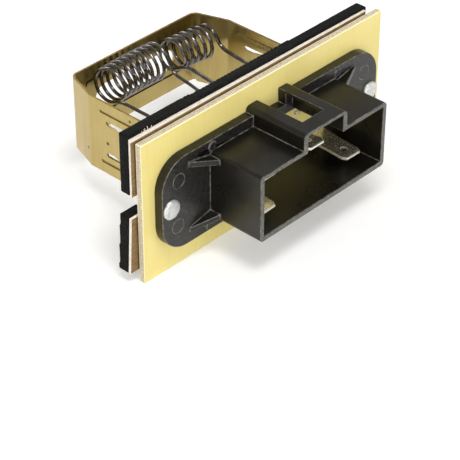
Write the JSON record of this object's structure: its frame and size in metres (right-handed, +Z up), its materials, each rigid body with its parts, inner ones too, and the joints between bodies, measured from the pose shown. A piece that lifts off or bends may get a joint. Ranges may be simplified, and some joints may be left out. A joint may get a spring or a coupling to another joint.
{
  "type": "blower motor resistor",
  "caption": "Blower motor resistor: flat board with a moulded blade connector, a foam gasket, and wound resistance coils inside a folded metal guard.",
  "frame": {"origin": "centre of the gasket's seating plane, the foam's back face, on the axis of the connector and plate", "axes": "+X along the plate to the right as seen from the connector, +Y from the connector towards the coils, +Z up, towards the connector's latch hood"},
  "size_m": [0.0914, 0.0673, 0.0423],
  "materials": {
    "laminate": "woven glass-epoxy laminate, pale yellow, satin",
    "black_plastic": "moulded black, satin",
    "fibre": "pressed fibre, frayed edges",
    "foam": "open foam, matt black",
    "plated_sheet": "yellow-plated sheet, bright",
    "rivet_metal": "bright",
    "blade_metal": "tinned, bright",
    "resistance_wire": "dull drawn wire",
    "limiter_metal": "plain",
    "limiter_ceramic": "unglazed"
  },
  "bodies": {
    "root": {"mounting_plate": "laminate", "connector_housing": "black_plastic", "fibre_board": "fibre", "foam_gasket": "foam", "heat_guard": "plated_sheet", "rivet_left": "rivet_metal", "rivet_right": "rivet_metal", "terminal_upper_left": "blade_metal", "terminal_upper_middle": "blade_metal", "terminal_upper_right": "blade_metal", "terminal_lower_left": "blade_metal", "terminal_lower_right": "blade_metal", "coil_left": "resistance_wire", "coil_right": "resistance_wire", "limiter_case": "limiter_metal", "limiter_seal": "limiter_ceramic", "limiter_lead_left": "limiter_metal", "limiter_lead_right": "limiter_metal"}
  },
  "joints": []
}
